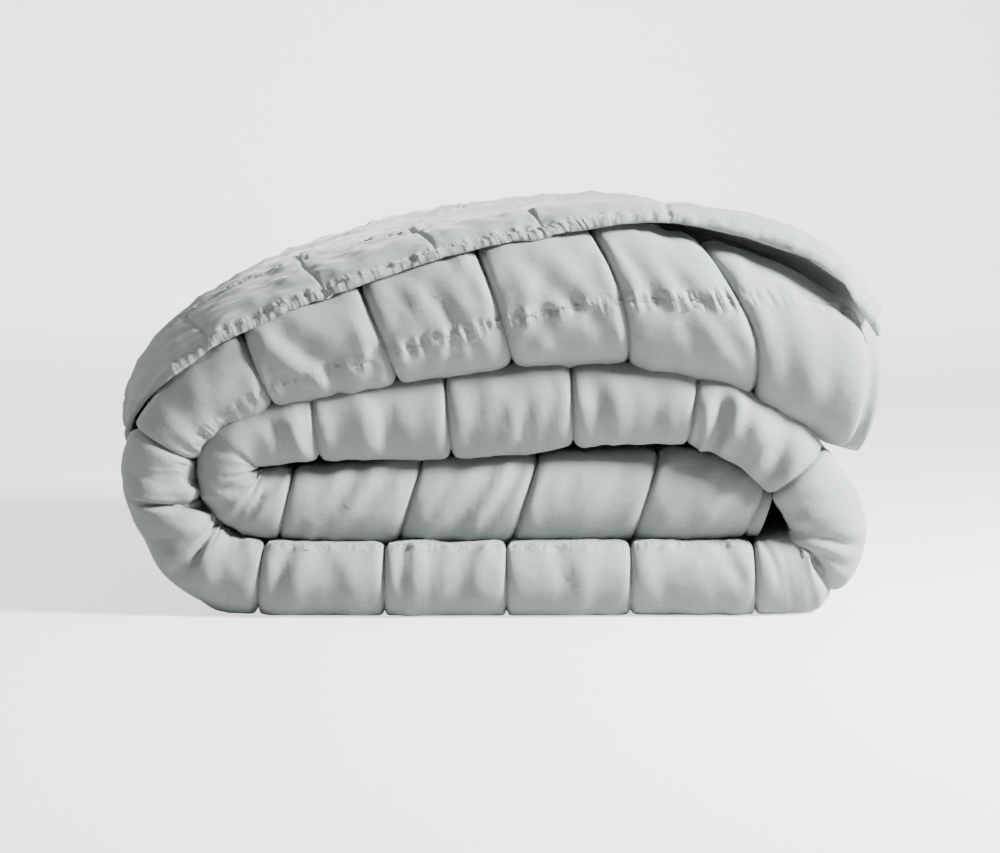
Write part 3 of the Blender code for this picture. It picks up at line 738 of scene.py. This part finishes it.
def washed_linen(colours):
    """Washed linen, woven plain from flax yarn: matt and soft, with slubs and fine crinkles."""
    material = bpy.data.materials.new("washed_linen")
    material.use_nodes = True
    tree = material.node_tree
    shader = tree.nodes["Principled BSDF"]
    shader.inputs["Roughness"].default_value = 0.86
    shader.inputs["Specular IOR Level"].default_value = 0.25
    shader.inputs["Sheen Weight"].default_value = 0.22
    shader.inputs["Sheen Roughness"].default_value = 0.45
    sheet = add(tree, "ShaderNodeUVMap", {"uv_map": "sheet"}).outputs["UV"]

    def pattern(scale, detail, rough=0.55, turn=0.0):
        """Noise along and across the sheet, with its scale in repeats to the metre."""
        mapping = add(tree, "ShaderNodeMapping", inputs={"Scale": scale, "Rotation": (0, 0, turn)},
                      links={"Vector": sheet})
        return add(tree, "ShaderNodeTexNoise",
                   inputs={"Scale": 1.0, "Detail": detail, "Roughness": rough},
                   links={"Vector": mapping.outputs["Vector"]}).outputs["Fac"]

    # A slub is a thick place in a yarn, some 40 mm long and 1.5 mm wide.
    warp = pattern((25.0, 650.0, 1.0), 2.0)
    weft = pattern((650.0, 25.0, 1.0), 2.0)
    cloudy = pattern((9.0, 9.0, 1.0), 3.0)
    yarns = add(tree, "ShaderNodeMath", {"operation": "ADD"}, links={0: warp, 1: weft})
    tone = add(tree, "ShaderNodeMath", {"operation": "MULTIPLY_ADD"}, {1: 0.5},
               {0: yarns.outputs[0], 2: cloudy})
    share = add(tree, "ShaderNodeMapRange", inputs={"From Min": 0.45, "From Max": 1.55},
                links={"Value": tone.outputs[0]})
    colour = add(tree, "ShaderNodeMix", {"data_type": "RGBA"},
                 {"A": (*colours.shade, 1.0), "B": (*colours.linen, 1.0)},
                 {"Factor": share.outputs["Result"]})
    tree.links.new(colour.outputs["Result"], shader.inputs["Base Color"])
    # Tucks, some 5 mm apart, that the thread draws up beside a lengthwise row.
    axes = add(tree, "ShaderNodeSeparateXYZ", links={"Vector": sheet}).outputs

    def beside(axis, reach):
        """1 on a row of stitches, falling to 0 at a distance from it."""
        away = add(tree, "ShaderNodeMath", {"operation": "PINGPONG"}, {1: SQUARE * MM / 2},
                   {0: axes[axis]})
        return add(tree, "ShaderNodeMapRange", {"interpolation_type": "SMOOTHSTEP"},
                   {"From Min": reach, "From Max": 0.0}, {"Value": away.outputs[0]}).outputs["Result"]

    drawn = add(tree, "ShaderNodeMath", {"operation": "MULTIPLY"},
                links={0: pattern((210.0, 60.0, 1.0), 1.5, rough=0.4), 1: beside("Y", 0.010)})
    # None in the left bend, and gathers over the whole of the flap's hem.
    from_bend = add(tree, "ShaderNodeMath", {"operation": "SUBTRACT"}, {1: LEFT_SMOOTH[0] * SQUARE * MM},
                    {0: axes["X"]})
    far = add(tree, "ShaderNodeMath", {"operation": "ABSOLUTE"}, links={0: from_bend.outputs[0]})
    calm = add(tree, "ShaderNodeMapRange", inputs={"From Min": 0.08, "From Max": 0.12},
               links={"Value": far.outputs[0]})
    kept = add(tree, "ShaderNodeMath", {"operation": "MULTIPLY"},
               links={0: drawn.outputs[0], 1: calm.outputs["Result"]})
    on_hem = add(tree, "ShaderNodeMapRange",
                 inputs={"From Min": (ACROSS - 0.03) * SQUARE * MM, "From Max": ACROSS * SQUARE * MM,
                         "To Max": 1.1},
                 links={"Value": axes["Y"]})
    gathers = add(tree, "ShaderNodeMath", {"operation": "MULTIPLY_ADD"},
                  links={0: pattern((175.0, 30.0, 1.0), 1.0, rough=0.4), 1: on_hem.outputs["Result"],
                         2: kept.outputs[0]})
    tucks = add(tree, "ShaderNodeBump", inputs={"Strength": 0.55, "Distance": 0.005},
                links={"Height": gathers.outputs[0]})
    # Crinkles 8 to 20 mm long that washing leaves, then the yarns on top of them.
    fine = pattern((60.0, 130.0, 1.0), 4.0, rough=0.6, turn=0.2)
    height = add(tree, "ShaderNodeBump", inputs={"Strength": 0.5, "Distance": 0.0014},
                 links={"Height": fine, "Normal": tucks.outputs["Normal"]})
    woven = add(tree, "ShaderNodeBump", inputs={"Strength": 0.12, "Distance": 0.0003},
                links={"Height": yarns.outputs[0], "Normal": height.outputs["Normal"]})
    tree.links.new(woven.outputs["Normal"], shader.inputs["Normal"])
    return material


def plain(name, colour, roughness):
    """A material of one colour."""
    material = bpy.data.materials.new(name)
    material.use_nodes = True
    shader = material.node_tree.nodes["Principled BSDF"]
    shader.inputs["Base Color"].default_value = (*colour, 1.0)
    shader.inputs["Roughness"].default_value = roughness
    return material


def cotton_thread(colours):
    """Spun cotton thread: matt, a shade deeper than the linen, with the twist of its plies."""
    material = plain("cotton_thread", colours.thread, 0.9)
    tree = material.node_tree
    place = add(tree, "ShaderNodeTexCoord").outputs["Object"]
    twist = add(tree, "ShaderNodeTexNoise", inputs={"Scale": 900.0, "Detail": 1.0},
                links={"Vector": place})
    bump = add(tree, "ShaderNodeBump", inputs={"Strength": 0.3, "Distance": 0.0003},
               links={"Height": twist.outputs["Fac"]})
    tree.links.new(bump.outputs["Normal"], tree.nodes["Principled BSDF"].inputs["Normal"])
    return material


def show(name, data):
    """A new object with that mesh, light or camera, in the scene."""
    obj = bpy.data.objects.new(name, data)
    bpy.context.scene.collection.objects.link(obj)
    return obj


class QUILT_OT_cloth(bpy.types.Operator):
    """Makes the quilt's cloth with its pillows, puckers, creases and hems"""
    bl_idname = "quilt.cloth"
    bl_label = "Quilt Cloth"

    def execute(self, context):
        cloth = Cloth(context.scene.quilt_sizes)
        index, faces = cloth.rows_and_faces()
        sides = {"outer": cloth.outer, "inner": cloth.inner}
        points = np.array([sides[side][i, j] for side, i, j in index]) * MM
        flat = np.array([cloth.flat[i, j] for _, i, j in index]) * MM
        points[:, :2] -= np.array(CENTRE) * MM
        mesh = bpy.data.meshes.new("linen_quilt")
        mesh.from_pydata(points.tolist(), [], faces)
        corners = np.empty(len(mesh.loops), dtype=int)
        mesh.loops.foreach_get("vertex_index", corners)
        sheet = mesh.uv_layers.new(name="sheet")
        sheet.data.foreach_set("uv", flat[corners].ravel())
        mesh.materials.append(washed_linen(context.scene.quilt_colours))
        mesh.shade_smooth()
        bm = bmesh.new()
        bm.from_mesh(mesh)
        if bm.calc_volume(signed=True) < 0:
            bmesh.ops.reverse_faces(bm, faces=bm.faces)
        bm.to_mesh(mesh)
        bm.free()
        quilt = show("linen_quilt", mesh)
        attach(quilt, "root")
        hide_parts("quilt")
        return {"FINISHED"}


class QUILT_OT_stage(bpy.types.Operator):
    """Makes the studio: a pale floor that curves up into a wall, soft lights and the camera"""
    bl_idname = "quilt.stage"
    bl_label = "Studio"

    def execute(self, context):
        scene = context.scene
        self.floor(scene)
        self.sky(scene)
        for lamp in LAMPS:
            self.light(scene, lamp)
        self.camera(scene)
        return {"FINISHED"}

    def floor(self, scene):
        """The floor and the wall as one strip of paper."""
        line = [(FLOOR_FRONT, 0.0), (WALL - CORNER, 0.0)]
        line += [(WALL - CORNER + CORNER * math.sin(a), CORNER - CORNER * math.cos(a))
                 for a in np.linspace(0.0, math.pi / 2, 17)[1:]]
        line.append((WALL, WALL_TOP))
        mesh = bpy.data.meshes.new("studio_floor")
        points = [(x, y, z) for y, z in line for x in (-HALF_WIDTH, HALF_WIDTH)]
        faces = [(2 * i, 2 * i + 1, 2 * i + 3, 2 * i + 2) for i in range(len(line) - 1)]
        mesh.from_pydata(points, [], faces)
        paper = plain("matt_paper", scene.quilt_colours.studio, 0.95)
        tree = paper.node_tree
        shader = tree.nodes["Principled BSDF"]
        shader.inputs["Emission Color"].default_value = (1.0, 1.0, 1.0, 1.0)
        # The paper looks brighter than the light that it throws back on the quilt.
        seen = add(tree, "ShaderNodeLightPath").outputs["Is Camera Ray"]
        glow = add(tree, "ShaderNodeMath", {"operation": "MULTIPLY"}, {1: scene.quilt_stage.glow},
                   {0: seen})
        tree.links.new(glow.outputs[0], shader.inputs["Emission Strength"])
        mesh.materials.append(paper)
        mesh.shade_smooth()
        floor = show("studio_floor", mesh)
        floor.location.z = -FLOOR_DROP

    def sky(self, scene):
        """Even light from all sides."""
        world = bpy.data.worlds.new("studio")
        world.use_nodes = True
        sky = world.node_tree.nodes["Background"]
        sky.inputs["Color"].default_value = (1.0, 1.0, 1.0, 1.0)
        sky.inputs["Strength"].default_value = scene.quilt_stage.fill
        scene.world = world

    def light(self, scene, lamp):
        """One round lamp, pointed at its aim."""
        data = bpy.data.lights.new(lamp.name, "AREA")
        data.shape, data.size, data.energy = "DISK", lamp.width, scene.quilt_stage.key * lamp.share
        light = show(lamp.name, data)
        light.location = lamp.place
        aim = Vector(lamp.aim) - light.location
        light.rotation_euler = aim.to_track_quat("-Z", "Y").to_euler()

    def camera(self, scene):
        """The camera, a little above the quilt's front."""
        stage, data = scene.quilt_stage, bpy.data.cameras.new("camera")
        camera = show("camera", data)
        target = Vector((TARGET[0], FRONT + TARGET_DEPTH, TARGET[1]))
        back = Vector((0.0, -math.cos(stage.elevation), math.sin(stage.elevation)))
        camera.location = target + back * (stage.distance + TARGET_DEPTH)
        camera.rotation_euler = (-back).to_track_quat("-Z", "Y").to_euler()
        data.sensor_width = SENSOR
        data.lens = SENSOR * stage.distance / VIEW_WIDTH
        data.clip_start, data.clip_end = 0.05, 60.0
        scene.camera = camera


def stitch_tree(material):
    """Geometry nodes that lay stitches along edges."""
    tree = bpy.data.node_groups.new("stitches", "GeometryNodeTree")
    face = tree.interface
    face.new_socket("Geometry", in_out="INPUT", socket_type="NodeSocketGeometry")
    for name in ("Stitch", "Step", "Thread"):
        face.new_socket(name, in_out="INPUT", socket_type="NodeSocketFloat")
    face.new_socket("Geometry", in_out="OUTPUT", socket_type="NodeSocketGeometry")
    given = add(tree, "NodeGroupInput").outputs
    line = add(tree, "GeometryNodeMeshToCurve", links={"Mesh": given["Geometry"]})
    spaced = add(tree, "GeometryNodeResampleCurve", {"mode": "LENGTH"},
                 links={"Curve": line.outputs["Curve"], "Length": given["Step"]})
    ball = add(tree, "GeometryNodeMeshIcoSphere", inputs={"Radius": 0.5, "Subdivisions": 1})
    size = add(tree, "ShaderNodeCombineXYZ",
               links={"X": given["Thread"], "Y": given["Thread"], "Z": given["Stitch"]})
    stitch = add(tree, "GeometryNodeTransform",
                 links={"Geometry": ball.outputs["Mesh"], "Scale": size.outputs["Vector"]})
    tangent = add(tree, "GeometryNodeInputTangent")
    turn = add(tree, "FunctionNodeAlignRotationToVector", {"axis": "Z"},
               links={"Vector": tangent.outputs["Tangent"]})
    placed = add(tree, "GeometryNodeInstanceOnPoints",
                 links={"Points": spaced.outputs["Curve"], "Instance": stitch.outputs["Geometry"],
                        "Rotation": turn.outputs["Rotation"]})
    real = add(tree, "GeometryNodeRealizeInstances", links={"Geometry": placed.outputs["Instances"]})
    smooth = add(tree, "GeometryNodeSetShadeSmooth", links={"Geometry": real.outputs["Geometry"]})
    coloured = add(tree, "GeometryNodeSetMaterial", inputs={"Material": material},
                   links={"Geometry": smooth.outputs["Geometry"]})
    add(tree, "NodeGroupOutput", links={"Geometry": coloured.outputs["Geometry"]})
    return tree


class QUILT_OT_stitches(bpy.types.Operator):
    """Lays the stitches along the seams and hems that show"""
    bl_idname = "quilt.stitches"
    bl_label = "Quilt Stitches"

    def execute(self, context):
        sizes = context.scene.quilt_sizes
        cloth = Cloth(sizes)
        above = cloth.outer + cloth.normal * STITCH_LIFT
        above[..., :2] -= np.array(CENTRE)
        shown = (cloth.across >= FIRST_FRONT) & (cloth.across <= LAST_FRONT)
        shown_flap = cloth.across >= FIRST_BACK
        points, edges = [], []

        def run(line):
            """Adds the part of a line of points that is clear of the surface."""
            line = line[line[:, 2] > LOWEST_STITCH]
            start = len(points)
            points.extend((line * MM).tolist())
            edges.extend((start + k, start + k + 1) for k in range(len(line) - 1))

        def index_of(values, place):
            return int(np.argmin(np.abs(values - place)))

        for seam in range(ALONG + 1):
            i = index_of(cloth.along, seam)
            run(above[i, shown & (cloth.across >= dict(FADED).get(seam, 0.0))])
            run(above[i, shown_flap])
        flap = index_of(cloth.along, FIRST_TOP)
        for seam in (TO_FRONT - 1, TO_FRONT, BACK_SEAM):
            run(above[:, index_of(cloth.across, seam)])
        for seam in range(BACK_SEAM + 1, ACROSS + 1):
            run(above[flap:, index_of(cloth.across, seam)])
        mesh = bpy.data.meshes.new("seam_lines")
        mesh.from_pydata(points, edges, [])
        lines = show("seam_lines", mesh)
        tree = stitch_tree(cotton_thread(context.scene.quilt_colours))
        modifier = lines.modifiers.new("stitches", "NODES")
        modifier.node_group = tree
        sockets = {item.name: item.identifier for item in tree.interface.items_tree
                   if item.in_out == "INPUT"}
        modifier[sockets["Stitch"]] = sizes.stitch
        modifier[sockets["Step"]] = sizes.stitch_step
        modifier[sockets["Thread"]] = sizes.thread
        graph = context.evaluated_depsgraph_get()
        made = bpy.data.meshes.new_from_object(lines.evaluated_get(graph))
        bpy.data.objects.remove(lines, do_unlink=True)
        made.name = "quilting_stitches"
        stitches = show("quilting_stitches", made)
        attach(stitches, "root")
        return {"FINISHED"}


class QUILT_PT_panel(bpy.types.Panel):
    """The quilt's pieces and sizes"""
    bl_idname = "QUILT_PT_panel"
    bl_label = "Folded Linen Quilt"
    bl_space_type = "VIEW_3D"
    bl_region_type = "UI"
    bl_category = "Quilt"

    def draw(self, context):
        for group in (context.scene.quilt_sizes, context.scene.quilt_colours,
                      context.scene.quilt_stage):
            box = self.layout.box()
            for name in group.__annotations__:
                box.prop(group, name)
        for operator in OPERATORS:
            self.layout.operator(operator.bl_idname)


OPERATORS = (QUILT_OT_stage, QUILT_OT_cloth, QUILT_OT_stitches)
GROUPS = {"quilt_sizes": QuiltSizes, "quilt_colours": QuiltColours, "quilt_stage": QuiltStage}


def register():
    for group in GROUPS.values():
        bpy.utils.register_class(group)
    for name, group in GROUPS.items():
        setattr(bpy.types.Scene, name, bpy.props.PointerProperty(type=group))
    for operator in OPERATORS:
        bpy.utils.register_class(operator)
    bpy.utils.register_class(QUILT_PT_panel)


def unregister():
    bpy.utils.unregister_class(QUILT_PT_panel)
    for operator in reversed(OPERATORS):
        bpy.utils.unregister_class(operator)
    for name, group in GROUPS.items():
        delattr(bpy.types.Scene, name)
        bpy.utils.unregister_class(group)


def main():
    """Makes the pieces in order."""
    register()
    bpy.ops.quilt.stage()
    bpy.ops.quilt.cloth()
    bpy.ops.quilt.stitches()


if __name__ == "__main__":
    main()
